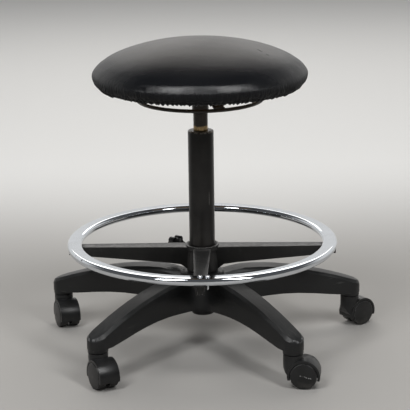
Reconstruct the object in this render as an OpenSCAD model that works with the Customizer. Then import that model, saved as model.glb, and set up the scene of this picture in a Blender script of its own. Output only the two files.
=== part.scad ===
// Height-adjustable work stool: a padded round seat on a gas lift with a ring-operated
// release, a sliding foot ring and a five-arm base on twin-wheel casters.
// The origin is on the floor under the column, +Z is up and the front looks along -Y.

/* [Casters] */
// Wheel diameter
wheel_d = 50; // [44:0.5:54]
// Width of one wheel
wheel_w = 17; // [13:0.5:19]
// Wall of the wheel's rim and face
wheel_wall = 2.6; // [2:0.1:3.4]
// Bulge of the wheel's outer face
wheel_dome = 1.4; // [0.6:0.1:2.4]
// Height from the floor to the rim of the socket that the caster plugs into
caster_h = 65; // [63:0.5:80]
// Distance from the stem's axis to the axle
caster_trail = 20.5; // [18:0.5:24]
// Diameter of the stem
stem_d = 11; // [9:0.5:12]
// Length of the stem inside the socket
stem_grip = 22; // [16:1:24]
// Diameter of the axle
axle_d = 6; // [5:0.5:8]
// Thickness of the hood's web between the two wheels
hood_web = 7; // [6:0.5:9]
// Thickness of the hood's shell over the wheels
hood_wall = 4.5; // [3:0.25:6]
// Diameter of the hood's neck
neck_d = 37; // [32:0.5:38]
// Height of the hood's lower edge above the floor
skirt_z = 17; // [14:0.5:19]

/* [Base] */
// Radius of the circle on which the casters stand
arm_reach = 307; // [270:1:330]
// Turn of the base from having one arm straight back
arm_turn = -3.66; // [-10:0.01:10]
// Diameter of the rounded arm end that holds a caster
socket_d = 40; // [38:0.5:46]
// Width of an arm where it leaves the hub
arm_root_w = 45; // [40:0.5:46]
// Highest point of the arms above the hub's top
arm_rise = 2; // [0:0.5:5]
// Drop of an arm's top from its highest point to its socket
arm_fall = 45.5; // [36:0.5:48]
// Rounding of an arm's top edges
arm_round = 9; // [5:0.5:10]
// Wall of the hollow arms
arm_wall = 3.4; // [3:0.1:5]
// Thickness of the ribs inside an arm
rib_t = 2.4; // [1.8:0.1:3]
// Distance between the cross ribs inside an arm
rib_pitch = 46; // [30:1:60]
// Diameter of the base's hub
hub_d = 84; // [82:0.5:90]
// Height of the hub
hub_h = 74; // [66:1:80]
// Height of the hub's foot above the sockets' rims
hub_lift = 5; // [2:0.5:12]
// Radius of the hollow between two arms at the hub
hub_fillet = 26; // [14:1:34]

/* [Column] */
// Outer diameter of the column
column_d = 50; // [46:0.5:52]
// Length of the column
column_len = 370; // [340:1:400]
// Wall of the column
column_wall = 2; // [1.5:0.1:2.6]
// Length of the column that shows below the hub
column_stub = 13; // [6:0.5:20]
// Slope of the taper that wedges the column in the hub, in degrees
taper_a = 1.8; // [1:0.1:2.2]
// Length of the plastic bush that guides the lift
bush_len = 85; // [60:1:100]
// Thickness of the plate that closes the column's foot
end_plate_t = 3; // [2:0.25:4]
// Rounding of the column's rolled top edge
column_lip = 2.5; // [1:0.25:3]

/* [Gas lift] */
// Diameter of the gas cylinder
cyl_d = 28; // [26:0.5:30]
// Length of the gas cylinder
cyl_len = 402; // [390:1:420]
// Wall of the gas cylinder
cyl_wall = 1.5; // [1.2:0.1:2]
// How far the seat stands above its lowest place
lift_now = 25; // [0:1:120]
// Full stroke of the lift
stroke = 260; // [200:1:265]
// Diameter of the piston rod
rod_d = 10; // [8:0.5:12]
// Height of the piston
piston_h = 10; // [8:0.5:14]
// Height of the guide that closes the cylinder's lower end
guide_h = 12; // [8:0.5:16]
// Height of the rubber stop round the rod
bump_h = 10; // [6:0.5:14]
// Diameter of the thrust bearing's balls
ball_d = 4.8; // [4:0.1:6]
// Number of balls in the thrust bearing
ball_count = 9; // [6:1:10]
// Thickness of each race of the bearing
race_t = 2.2; // [1.8:0.1:3]
// How far the release pin stands out of the cylinder
pin_rise = 4.9; // [4:0.1:6]
// Diameter of the release pin
pin_d = 7; // [5:0.5:8]

/* [Seat] */
// Diameter of the cushion at its widest
seat_d = 412; // [380:1:440]
// Height of the crown above the widest line
crown_h = 66; // [50:1:80]
// Height of the drawn-in side from its lower edge to the widest line
side_h = 21.5; // [18:0.5:26]
// How far the side draws in below the widest line
side_in = 9; // [6:0.5:12]
// Thickness of the cover
cover_t = 1.3; // [1:0.1:2]
// Width of the cover's edge that is turned under the board
hem_w = 26; // [18:1:34]
// Distance of the board's edge inside the cushion's widest line
board_in = 15; // [13:0.5:30]
// Thickness of the plywood board
board_t = 13; // [11:0.5:15]
// Number of staples in the cover's hem
staple_count = 30; // [16:1:40]

/* [Seat bracket] */
// Diameter of the socket sleeve that takes the cylinder
sleeve_d = 32; // [31.5:0.5:36]
// Length of the socket sleeve
sleeve_len = 46; // [40:1:50]
// Thickness of the bracket's plates
plate_t = 3; // [2.5:0.25:4]
// Diameter of the bracket's round plate
plate_d = 92; // [80:1:100]
// Distance of the bracket's bolts from the axis
bolt_r = 84; // [76:1:90]
// Width of the bracket's legs
leg_w = 26; // [20:1:30]
// How far the bracket's legs reach down the sleeve
leg_drop = 24; // [16:1:30]
// Diameter of the bracket's bolts
bolt_d = 6; // [5:0.5:7]

/* [Release ring] */
// Radius of the release ring, to the middle of its rod
hoop_r = 120.5; // [108:0.5:130]
// Diameter of the release ring's rod
hoop_d = 7; // [6:0.5:9]
// Drop of the ring's rod below the rocker disc
hoop_drop = 22; // [18:0.5:26]
// Width of the strips that carry the ring
strip_w = 21; // [16:0.5:22]
// Thickness of the strips
strip_t = 2; // [1.5:0.1:2.4]
// Direction of the first strip, seen from above
strip_turn = -73; // [-80:1:-60]
// Radius of the rocker disc
rocker_r = 22; // [18:0.5:26]
// Thickness of the rocker disc
rocker_t = 2.5; // [2:0.1:3]

/* [Foot ring] */
// Outer diameter of the foot ring
ring_d = 528; // [480:1:540]
// Width of the ring's tube
ring_w = 28; // [24:0.5:32]
// Height of the ring's tube
ring_h = 14; // [12:0.5:18]
// Rounding of the tube's corners
ring_round = 6; // [4:0.25:6.5]
// Wall of the tube
ring_wall = 1.5; // [1.2:0.1:2]
// Height of the spider's hub
spider_h = 54.5; // [48:0.5:60]
// Diameter of the spider's hub
spider_d = 61; // [58:0.5:66]
// Diameter of the collar at the hub's mouth
collar_d = 66; // [63:0.5:70]
// Height of the collar above the spokes
collar_rise = 3; // [1:0.5:6]
// Turn of the spokes from the stool's axes
spoke_turn = -1.1; // [-4:0.1:4]
// Width of a spoke along its lower edge
spoke_foot_w = 13.5; // [12:0.5:17]
// Slope of a spoke's sides from upright, in degrees
spoke_draft = 15; // [8:0.5:18]
// Depth of a spoke at the hub
spoke_root_t = 34; // [28:0.5:36]
// Depth of a spoke at its tip
spoke_tip_t = 17; // [15:0.5:20]
// Wall of the hollow spokes
spoke_wall = 2.8; // [2:0.1:3.6]
// Distance between the spoke's screw and the one that closes the tube beside it
screw_gap = 13.6; // [12:0.1:16]
// Diameter of the ring's screws
screw_d = 4; // [3:0.25:4.5]

/* [Clamp] */
// Direction of the clamping knob, seen from above
clamp_turn = 135; // [120:1:150]
// Distance from the axis to the face of the boss that holds the clamping screw
boss_out = 50; // [44:0.5:56]
// Length of the knob's neck
neck_len = 12; // [8:0.5:16]
// Diameter of the knob over its lobes
knob_d = 44; // [36:0.5:48]
// Thickness of the knob
knob_t = 18; // [12:0.5:22]
// Number of lobes on the knob
lobe_count = 6; // [5:1:8]
// Diameter of the clamping screw
clamp_d = 8; // [6:0.5:10]
// Height of the clamping screw above the spider's foot
clamp_z = 34; // [28:0.5:38]

/* [Fits] */
// Radial clearance of parts that run or slide on each other
run_gap = 0.05; // [0.03:0.01:0.09]
// Clearance between faces that turn or rock above each other
face_gap = 0.3; // [0.1:0.05:0.5]
// Clearance between fixed pieces that are pushed together
fit_gap = 0.02; // [0.01:0.01:0.05]

/* [Hidden] */
$fn = 96;

ARMS = 5;
SPOKES = 4;
STRIPS = 3;
// The five casters in order round the base, and the way each one trails in the photograph
BACK = 0;
LEFT = 1;
FRONT_LEFT = 2;
FRONT_RIGHT = 3;
RIGHT = 4;
TRAIL_A = [200, -70, -62, -7.5, 36];

nylon = [0.11, 0.12, 0.13];
satin_black = [0.08, 0.08, 0.085];
chrome = [0.8, 0.81, 0.82];
steel = [0.55, 0.55, 0.54];
brass = [0.72, 0.56, 0.3];
bronzed = [0.16, 0.13, 0.1];
vinyl = [0.05, 0.055, 0.065];
rubber = [0.06, 0.06, 0.06];

// Points of an arc, both ends included
function arc(cx, cy, r, a0, a1, n) =
    [for (i = [0:n]) let (a = a0 + (a1 - a0) * i / n) [cx + r * cos(a), cy + r * sin(a)]];

// Outline of a rectangle with rounded corners, from its lower left to its upper right corner
function round_box(x0, y0, x1, y1, r, n = 5) = concat(
    arc(x1 - r, y1 - r, r, 0, 90, n), arc(x0 + r, y1 - r, r, 90, 180, n),
    arc(x0 + r, y0 + r, r, 180, 270, n), arc(x1 - r, y0 + r, r, 270, 360, n));

function mix(a, b, t) = a + (b - a) * t;

// Profile given as radius and height, extruded sideways and laid out along +X
module blade(outline, width) {
    translate([0, width / 2, 0]) rotate([90, 0, 0]) linear_extrude(width) polygon(outline);
}

module ring_solid(r_in, r_out, z0, h) {
    rotate_extrude() translate([r_in, z0]) square([r_out - r_in, h]);
}

// Heights of the base and column
hub_z = caster_h + hub_lift;
hub_top = hub_z + hub_h;
hub_r = hub_d / 2;
socket_r = socket_d / 2;
column_r = column_d / 2;
column_z = hub_z - column_stub;
column_top = column_z + column_len;
taper_h = column_stub + hub_h;
column_foot_r = column_r - taper_h * tan(taper_a);
bore_r = column_foot_r - column_wall;

// Stack on the end plate
plate_z = column_z + 2;
race_z = plate_z + end_plate_t;
groove = 0.8;
ball_r = ball_d / 2;
ball_z = race_z + race_t - groove + run_gap + ball_r;
top_race_z = ball_z + ball_r + run_gap - groove;
bump_z = top_race_z + race_t;
race_r = bore_r - 1.5;
track_r = (race_r + rod_d / 2) / 2 + 0.6;
cyl_low_z = bump_z + bump_h + face_gap;

// Stack of the lift and seat
cyl_r = cyl_d / 2;
cyl_z = cyl_low_z + lift_now;
cyl_top = cyl_z + cyl_len;
rod_r = rod_d / 2;
rod_foot_z = plate_z - 1.4;
piston_z = cyl_low_z + stroke + guide_h + 1;
pin_top = cyl_top + pin_rise;
rocker_z = pin_top + face_gap;
bracket_z = rocker_z + rocker_t + face_gap;
board_z = bracket_z + plate_t;
sleeve_z = cyl_top - sleeve_len;
hem_z = board_z - cover_t;
wide_z = hem_z + side_h;
seat_r = seat_d / 2;
board_r = seat_r - board_in;
hoop_z = rocker_z - hoop_drop;

module star_base() {
    color(nylon) difference() {
        union() {
            for (i = [0:ARMS - 1]) rotate([0, 0, arm_a(i)]) arm();
            for (i = [0:ARMS - 1]) rotate([0, 0, arm_a(i) + 180 / ARMS]) arm_fillet();
            translate([0, 0, hub_z]) cylinder(r = hub_r, h = hub_h - 2);
            translate([0, 0, hub_top - 2]) cylinder(r1 = hub_r, r2 = hub_r - 2, h = 2);
        }
        translate([0, 0, column_z]) cylinder(r1 = column_foot_r + fit_gap,
            r2 = column_r + fit_gap + tan(taper_a), h = taper_h + 1);
        for (i = [0:ARMS - 1]) rotate([0, 0, arm_a(i)]) translate([arm_reach, 0, caster_h - 5])
            cylinder(r = grip_r, h = stem_grip + 7, $fn = 48);
    }
}

function arm_a(i) = arm_turn + 90 + i * 360 / ARMS;

// Rounded corner between two arms, along +X
module arm_fillet() {
    half = 180 / ARMS;
    apex = (arm_half(hub_r) + arm_half(hub_r + hub_fillet)) / 2 / sin(half);
    mid = apex + hub_fillet / sin(half);
    reach = hub_fillet / tan(half);
    touch = [for (side = [-1, 1]) [apex + reach * cos(half), side * reach * sin(half)]];
    low = arm_under(hub_r + hub_fillet);
    top = hub_top - arm_round;
    difference() {
        translate([0, 0, low]) linear_extrude(top - low) polygon([[arm_in, 0], touch[0], touch[1]]);
        translate([mid, 0, low - 5]) cylinder(r = hub_fillet, h = hub_h);
        translate([mid, 0, top - arm_round])
            cylinder(r1 = hub_fillet, r2 = hub_fillet + arm_round, h = arm_round);
    }
}

// Line along the top of an arm: a rounded fall from the highest point to the socket
crown_r = hub_r + 42;
crown_z = hub_top + arm_rise;
nose = 6;
tip_r = arm_reach + socket_r;
function arm_top(r) = r < crown_r
    ? crown_z - 3 * pow((crown_r - r) / 24, 1.3)
    : crown_z - arm_fall * pow((r - crown_r) / (arm_reach - crown_r), 1.8) - nose_fall(r - tip_r + nose);
function nose_fall(x) = x < 0 ? 0 : nose - sqrt(nose * nose - x * x);

// Line along an arm's lower edge: a shallow arch from the hub to the socket
arm_in = hub_r - 9;
arch_end = arm_reach - socket_r;
sole_z = caster_h + 6;
function arm_under(r) = let (t = (r - arm_in) / (arch_end - arm_in))
    mix(hub_z + 6.5, sole_z, t) + 12 * pow(sin(180 * t), 1.2);

function arm_half(r) = r < arm_reach
    ? mix(arm_root_w, socket_d, (r - arm_in) / (arm_reach - arm_in)) / 2
    : sqrt(pow(socket_r, 2) - pow(r - arm_reach, 2));

// Stations along an arm's top line and round its nose
function stations(n, shift) = concat(
    [for (i = [0:n]) mix(arm_in, arm_reach - 4, (i + (i > 0 && i < n ? shift : 0)) / n)],
    [for (a = [20 + shift * 10:18:78 + shift * 10]) arm_reach + socket_r * sin(a)]);

// Side view of an arm: its top line, nose, sole and arch
module arm_side() {
    line = stations(11, 0);
    arch = [for (i = [8:-1:0]) mix(arm_in, arch_end, i / 8)];
    blade(concat(
        [for (r = line) [r, arm_top(r)]],
        [[tip_r, arm_top(tip_r)], [tip_r, sole_z], [arch_end, sole_z]],
        [for (r = arch) [r, arm_under(r)]]), arm_root_w + 10);
}

// Prism that rounds an arm's shoulder, its faces leaning a degrees from upright
module shoulder(a) {
    line = stations(10, 0.45);
    s = arm_round;
    edge = [for (r = line) [r, (arm_half(r) - s) * cos(a) + (arm_top(r) - s) * sin(a) + s]];
    rotate([a, 0, 0]) translate([0, 0, -200]) linear_extrude(400)
        polygon(concat([[arm_in, -20]], edge, [[tip_r + 1, edge[len(edge) - 1][1] - 3], [tip_r + 1, -20]]));
}

module arm_plan() {
    w0 = arm_half(arm_in);
    w1 = arm_half(arm_reach);
    translate([0, 0, hub_z - 20]) linear_extrude(hub_h + 40)
        polygon([[arm_in, -w0], [arm_reach, -w1], [arm_reach, w1], [arm_in, w0]]);
}

module arm() {
    difference() {
        intersection() {
            arm_side();
            union() {
                arm_plan();
                translate([arm_reach, 0, hub_z - 20]) cylinder(r = socket_r, h = hub_h + 40, $fn = 64);
            }
            shoulder(45);
            mirror([0, 1, 0]) shoulder(45);
        }
        arm_pockets();
    }
    translate([arm_reach, 0, caster_h]) cylinder(r = socket_r - 0.7, h = 12, $fn = 64);
}

// Open-bottomed pockets on both sides of the middle rib
module arm_pockets() {
    r0 = hub_r + arm_wall;
    r1 = arch_end - arm_wall;
    count = round((r1 - r0) / rib_pitch);
    pitch = (r1 + rib_t - r0) / count;
    for (i = [0:count - 1]) let (x = r0 + i * pitch, x1 = x + pitch - rib_t, t = arm_wall + 2.6)
        for (side = [0, 1]) mirror([0, side, 0]) rotate([90, 0, 0]) mirror([0, 0, 1])
            translate([0, 0, rib_t / 2]) linear_extrude(arm_half(x1) - arm_wall - rib_t / 2)
                polygon([[x, hub_z - 10], [x1, hub_z - 10], [x1, arm_top(x1) - t], [x, arm_top(x) - t]]);
}

module column_tube() {
    r = column_r;
    lip = arc(r - column_lip, column_top - column_lip, column_lip, 0, 90, 4);
    color(satin_black) rotate_extrude() polygon(concat(
        [[bore_r, column_z], [column_foot_r, column_z], [r, hub_top]],
        lip,
        [[r - column_lip - 1.5, column_top], [r - column_lip - 1.5, column_top - column_wall],
            [r - column_wall, column_top - column_wall], [r - column_wall, hub_top],
            [bore_r, column_z + 6]]));
}

module guide_bush() {
    z = column_top - column_wall - bush_len;
    r_out = column_r - column_wall - fit_gap;
    r_in = cyl_r + run_gap;
    color(rubber) union() {
        ring_solid(r_in, r_out, z, bush_len - fit_gap);
        ring_solid(r_in, column_r - column_lip - 1.5 - fit_gap, z + bush_len - 1, column_wall + 1.4);
    }
}

module column_end_plate() {
    color(steel) ring_solid(rod_r + run_gap, bore_r - fit_gap, plate_z, end_plate_t);
}

// One race of the thrust bearing, lying on z = 0 with its track on top
module race(r_in) {
    difference() {
        ring_solid(r_in, race_r, 0, race_t);
        rotate_extrude() translate([track_r, race_t - groove + run_gap + ball_r])
            circle(ball_r + run_gap, $fn = 48);
    }
}

module bearing_lower_race() {
    color(steel) translate([0, 0, race_z]) race(rod_r + run_gap);
}

module bearing_upper_race() {
    color(steel) translate([0, 0, top_race_z + race_t]) mirror([0, 0, 1]) race(rod_r + fit_gap);
}

module bearing_balls() {
    color(chrome) for (i = [0:ball_count - 1]) rotate([0, 0, i * 360 / ball_count])
        translate([track_r, 0, ball_z]) sphere(ball_r, $fn = 48);
}

module bearing_cage() {
    color(brass) difference() {
        ring_solid(track_r - ball_r - 1, track_r + ball_r + 0.6, ball_z - 0.6, 1.2);
        for (i = [0:ball_count - 1]) rotate([0, 0, i * 360 / ball_count])
            translate([track_r, 0, ball_z - 2]) cylinder(r = ball_r + run_gap, h = 4, $fn = 48);
    }
}

// Bore of a caster socket; the split ring in it grips the stem
grip_r = stem_d / 2 + 1.2;
grip_h = 15;

module caster_grip_rings() {
    color(steel) for (i = [0:ARMS - 1]) at_caster(i) difference() {
        ring_solid(stem_d / 2 + run_gap, grip_r - fit_gap, caster_h + 3, grip_h);
        translate([0, -1, caster_h]) cube([stem_d, 2, grip_h * 2]);
    }
}

module piston_rod() {
    neck = rod_r - 1.2;
    color(chrome) rotate_extrude() polygon([
        [0, rod_foot_z - 2.2], [rod_r - 0.6, rod_foot_z - 2.2], [rod_r, rod_foot_z - 1.6],
        [rod_r, rod_foot_z], [neck, rod_foot_z], [neck, plate_z - face_gap], [rod_r, plate_z - face_gap],
        [rod_r, piston_z + piston_h + 2], [0, piston_z + piston_h + 2]]);
}

module rod_clip() {
    color(steel) difference() {
        ring_solid(rod_r - 1.2 + fit_gap, rod_r + 3.6, rod_foot_z + fit_gap,
            plate_z - rod_foot_z - face_gap - 2 * fit_gap);
        translate([0, -rod_r + 1.4, rod_foot_z - 1]) cube([rod_d, rod_d - 2.8, 3]);
    }
}

module bump_stop() {
    w = cyl_r - 0.5;
    color(rubber) rotate_extrude() polygon([
        [rod_r + fit_gap, bump_z], [w, bump_z], [w, bump_z + bump_h / 3],
        [w - 1.5, bump_z + bump_h / 2], [w - 1.5, bump_z + bump_h * 0.8], [w - 3, bump_z + bump_h],
        [rod_r + fit_gap, bump_z + bump_h]]);
}

module piston() {
    r = cyl_r - cyl_wall - run_gap;
    color(brass) difference() {
        ring_solid(rod_r + fit_gap, r, piston_z, piston_h);
        ring_solid(r - 1.5, r + 1, piston_z + piston_h * 0.4, piston_h * 0.2);
    }
}

module gas_cylinder() {
    r = cyl_r;
    color(bronzed) rotate_extrude() polygon([
        [r - cyl_wall, cyl_z], [r, cyl_z], [r, sleeve_z], [r - 1, cyl_top - 1], [r - 2, cyl_top],
        [pin_d / 2 + 3, cyl_top], [pin_d / 2 + 3, cyl_top - 3], [r - 3, cyl_top - 4],
        [r - 1 - cyl_wall, sleeve_z + 12], [r - cyl_wall, sleeve_z]]);
}

module cylinder_end_guide() {
    color(steel) ring_solid(rod_r + run_gap, cyl_r - cyl_wall - fit_gap, cyl_z, guide_h);
}

module pin_guide() {
    r_in = pin_d / 2 + run_gap;
    color(brass) rotate_extrude() polygon([
        [r_in, cyl_top - 22], [cyl_r - cyl_wall - 3.5, cyl_top - 22], [cyl_r - cyl_wall - 3.5, cyl_top - 5],
        [pin_d / 2 + 3 - fit_gap, cyl_top - 5], [pin_d / 2 + 3 - fit_gap, cyl_top], [r_in, cyl_top]]);
}

module release_pin() {
    r = pin_d / 2;
    dome = 8;
    color(steel) rotate_extrude() polygon(concat(
        [[0, cyl_top - 26], [r, cyl_top - 26]],
        arc(0, pin_top - dome, dome, acos(r / dome), 90, 4)));
}

module socket_sleeve() {
    r = sleeve_d / 2;
    color(bronzed) rotate_extrude() polygon([
        [cyl_r + fit_gap, sleeve_z], [r - 0.8, sleeve_z], [r, sleeve_z + 0.8], [r, cyl_top - 3],
        [r - 1, cyl_top - 2], [cyl_r - 1 + fit_gap, cyl_top - 2]]);
}

// Pressed bracket: a lobed plate under the board and three bent legs down to the sleeve
module seat_bracket() {
    foot_z = cyl_top - leg_drop;
    color(satin_black) difference() {
        union() {
            translate([0, 0, bracket_z]) cylinder(d = plate_d, h = plate_t);
            for (i = [0:STRIPS - 1]) rotate([0, 0, strip_turn + 60 + i * 120]) {
                translate([0, -leg_w / 2, bracket_z]) cube([bolt_r, leg_w, plate_t]);
                translate([bolt_r, 0, bracket_z]) cylinder(d = leg_w, h = plate_t);
                blade([[sleeve_d / 2 - 1, foot_z], [sleeve_d / 2 + 6, foot_z],
                    [bolt_r - 12, bracket_z], [bolt_r - 12, bracket_z + 1], [bolt_r - 18, bracket_z + 1],
                    [sleeve_d / 2 + 4, foot_z + plate_t], [sleeve_d / 2 - 1, foot_z + plate_t]], leg_w);
            }
            ring_solid(sleeve_d / 2 - 1, sleeve_d / 2 + 6, foot_z, plate_t);
        }
        translate([0, 0, foot_z - 5]) cylinder(r = sleeve_d / 2 + fit_gap, h = plate_t + 10);
        for (i = [0:STRIPS - 1]) at_bolt(i) translate([0, 0, bracket_z - 5])
            cylinder(r = bolt_d / 2 + 0.3, h = plate_t + 10, $fn = 32);
    }
}

module at_bolt(i) {
    rotate([0, 0, strip_turn + 60 + i * 120]) translate([bolt_r, 0, 0]) children();
}

module bracket_bolts() {
    head = bolt_d * 0.6;
    color(steel) for (i = [0:STRIPS - 1]) at_bolt(i) {
        translate([0, 0, bracket_z - head]) cylinder(r = bolt_d * 0.95, h = head, $fn = 6);
        translate([0, 0, bracket_z]) cylinder(d = bolt_d, h = plate_t + board_t - 2, $fn = 32);
    }
}

module tee_nuts() {
    color(steel) for (i = [0:STRIPS - 1]) at_bolt(i) difference() {
        union() {
            translate([0, 0, board_z + board_t - 10]) cylinder(d = bolt_d + 2.4, h = 9, $fn = 32);
            translate([0, 0, board_z + board_t - 1.5]) cylinder(d = bolt_d * 3, h = 1.5, $fn = 32);
        }
        translate([0, 0, board_z]) cylinder(r = bolt_d / 2 + fit_gap, h = board_t + 5, $fn = 32);
    }
}

module seat_board() {
    color("burlywood") difference() {
        translate([0, 0, board_z]) cylinder(r = board_r, h = board_t);
        for (i = [0:STRIPS - 1]) at_bolt(i) {
            translate([0, 0, board_z - 5])
                cylinder(r = bolt_d / 2 + 1.2 + fit_gap, h = board_t + 10, $fn = 32);
            translate([0, 0, board_z + board_t - 1.5 - fit_gap])
                cylinder(r = bolt_d * 1.5 + fit_gap, h = 5, $fn = 32);
        }
    }
}

// Half section of the cushion at a depth below its skin: the drawn-in side, then the crown
function cushion_line(depth, n_side, n_crown) = let (r = seat_r - depth, h = crown_h - depth,
        lo = side_h - depth, in = side_in)
    concat(
        [for (i = [0:n_side]) let (a = 90 - 90 * i / n_side) [r - in + in * cos(a), wide_z - lo * sin(a)]],
        [for (i = [1:n_crown]) let (a = 90 * i / n_crown)
            [i == n_crown ? 0 : r * pow(cos(a), 1.07), wide_z + h * pow(sin(a), 1.15)]]);

module seat_foam() {
    gap = cover_t + 0.3;
    color("khaki") rotate_extrude() polygon(concat(
        [[board_r + face_gap, board_z + 0.3]], cushion_line(gap, 6, 18),
        [[0, board_z + board_t], [board_r + face_gap, board_z + board_t]]));
}

module seat_cover() {
    hem_r = board_r - hem_w;
    inner = cushion_line(cover_t, 6, 18);
    outer = cushion_line(0, 6, 18);
    color(vinyl) rotate_extrude() polygon(concat(
        [[hem_r, hem_z]], outer, [for (i = [len(inner) - 1:-1:0]) inner[i]], [[hem_r, board_z]]));
}

module cover_staples() {
    crown_w = 10;
    wire = 1;
    color(steel) for (i = [0:staple_count - 1]) rotate([0, 0, (i + 0.5) * 360 / staple_count])
        translate([board_r - hem_w / 2, 0, hem_z]) {
            translate([-wire / 2, -crown_w / 2, -wire]) cube([wire, crown_w, wire]);
            for (y = [-crown_w / 2, crown_w / 2 - wire]) translate([-wire / 2, y, -wire / 2])
                cube([wire, wire, 6]);
        }
}

module release_hoop() {
    color(bronzed) translate([0, 0, hoop_z]) rotate_extrude() translate([hoop_r, 0])
        circle(d = hoop_d, $fn = 32);
}

// Each strip starts outside the cylinder, runs flat under the rocker disc and bends down to the rod
module release_strips() {
    start_r = cyl_r + 1;
    flat_r = rocker_r + 26;
    end_r = hoop_r + 1;
    end_z = hoop_z + hoop_d / 2 - 0.2;
    color(bronzed) for (i = [0:STRIPS - 1]) rotate([0, 0, strip_turn + i * 120])
        blade([[start_r, rocker_z - strip_t], [flat_r, rocker_z - strip_t], [hoop_r - 4, end_z],
            [end_r, end_z], [end_r, end_z + strip_t], [hoop_r - 4, end_z + strip_t],
            [flat_r, rocker_z], [start_r, rocker_z]], strip_w);
}

module rocker_disc() {
    color(bronzed) translate([0, 0, rocker_z]) cylinder(r = rocker_r, h = rocker_t);
}

// Foot ring
ring_r = ring_d / 2;
spider_z = hub_top + face_gap;
spider_r = spider_d / 2;
spoke_z = spider_z + spider_h - collar_rise;
ring_z = spoke_z;
spoke_tip_r = ring_r - 2;
screw_r = ring_r - ring_w / 2;
slide_r = column_r + run_gap;
screw_head = screw_d * 1.05;
screw_len = ring_h + 11;
screw_seat = screw_len - ring_h + ring_wall + 1;

function tube_line(inset) = round_box(ring_r - ring_w + inset, ring_z + inset, ring_r - inset,
    ring_z + ring_h - inset, ring_round - inset);

module foot_ring() {
    color(chrome) difference() {
        rotate_extrude($fn = 180) difference() {
            polygon(tube_line(0));
            polygon(tube_line(ring_wall));
        }
        at_screws() translate([0, 0, -screw_len - 0.3])
            cylinder(r = screw_d / 2 + 0.2, h = screw_len + 2, $fn = 32);
    }
}

// Seats of the ring's screws: two from above in front, one from below at each other spoke
module at_screws() {
    for (side = [0, 1]) rotate([0, 0, spoke_turn - 90])
        translate([screw_r, side * screw_gap, ring_z + ring_h]) children();
    for (i = [0:SPOKES - 2]) rotate([0, 0, spoke_turn + i * 360 / SPOKES])
        translate([screw_r, 0, ring_z - screw_seat]) mirror([0, 0, 1]) children();
}

module ring_screws() {
    r = screw_d / 2;
    color(chrome) at_screws() rotate_extrude($fn = 32) polygon(concat(
        [[0, -screw_len], [r, 2 - screw_len], [r, 0], [screw_head, 0]],
        [for (a = [15:25:90]) [screw_head * cos(a), 1 + screw_head * 0.55 * sin(a)]],
        [[0, 1 + screw_head * 0.55]]));
}

spoke_in = spider_r + 40;
spoke_rise = (spoke_root_t - spoke_tip_t) / (spoke_tip_r - spoke_in);

function spoke_side(inset) = let (z = spoke_z - inset, low = inset > 0 ? 30 : 0)
    [[0, z], [spoke_tip_r - inset, z], [spoke_tip_r - inset, spoke_z - spoke_tip_t - low],
        [spoke_in, spoke_z - spoke_root_t - low],
        [spider_r + 12, spoke_z - spoke_root_t - 4 - low],
        [spider_r - 4, spider_z + 1 - low], [0, spider_z + 1 - low]];

// All that lies inside one sloping side of a spoke
module spoke_flank(inset) {
    translate([spoke_in, spoke_foot_w / 2 - inset / cos(spoke_draft), spoke_z - spoke_root_t])
        rotate([0, -atan(spoke_rise), 0]) rotate([-spoke_draft, 0, 0])
            translate([-120, -200, -150]) cube([450, 200, 300]);
}

module spoke(inset) {
    intersection() {
        blade(spoke_side(inset), 80);
        spoke_flank(inset);
        mirror([0, 1, 0]) spoke_flank(inset);
    }
}

// Open-bottomed pockets between the hub, the cross webs and the screw's block, and the open tip
module spoke_pockets() {
    r0 = spider_r + 4;
    r1 = screw_r - 12;
    tip = screw_r + screw_head + 3;
    count = 4;
    pitch = (r1 - r0) / count;
    intersection() {
        spoke(spoke_wall);
        for (i = [0:count - 1]) translate([r0 + i * pitch, -50, spider_z - 50])
            cube([pitch - spoke_wall, 100, spider_h + 60]);
    }
    intersection() {
        translate([0, 0, -spoke_wall]) blade([[tip, spoke_z], [ring_r, spoke_z], [ring_r, spider_z],
            [tip, spider_z]], 80);
        spoke_flank(spoke_wall);
        mirror([0, 1, 0]) spoke_flank(spoke_wall);
    }
}

module ring_spider() {
    mouth = 5.5;
    top = spider_z + spider_h;
    clamp_h = spider_z + clamp_z;
    color(satin_black) difference() {
        union() {
            rotate_extrude() polygon([
                [slide_r - 3, spider_z], [spider_r - 1, spider_z], [spider_r, spider_z + 1],
                [spider_r, top - 12], [collar_d / 2, top - 8], [collar_d / 2, top - 0.8],
                [collar_d / 2 - 0.8, top], [slide_r - 3, top]]);
            for (i = [0:SPOKES - 1]) rotate([0, 0, spoke_turn + i * 360 / SPOKES]) difference() {
                spoke(0);
                spoke_pockets();
            }
            at_clamp() cylinder(r = boss_r, h = boss_out);
        }
        translate([0, 0, spider_z - 5]) cylinder(r = slide_r, h = spider_h + 10);
        translate([0, 0, top - mouth + 1]) cylinder(r1 = slide_r - 0.5, r2 = slide_r + mouth, h = mouth);
        at_clamp() translate([0, 0, -10]) cylinder(r = pad_r + run_gap, h = insert_out + 10);
        at_clamp() translate([0, 0, insert_out]) cylinder(r = insert_r, h = 50);
        at_screws() translate([0, 0, -screw_len - 0.3])
            cylinder(r = screw_d / 2 + run_gap, h = screw_len + 2, $fn = 32);
        at_screws() cylinder(r = screw_head + 0.4, h = 8, $fn = 32);
    }
}

// Clamp: a knob's screw runs in a brass insert and pushes a pad on the column
pad_r = clamp_d / 2 + 1.6;
pad_out = column_r + run_gap * 2;
pad_t = 2.8;
insert_r = clamp_d / 2 + 3;
insert_out = boss_out - 10;
boss_r = insert_r + 4;
knob_out = boss_out + 2;
disc_out = knob_out + neck_len;

module at_clamp() {
    rotate([0, 0, clamp_turn]) translate([0, 0, spider_z + clamp_z]) rotate([0, 90, 0]) children();
}

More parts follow.
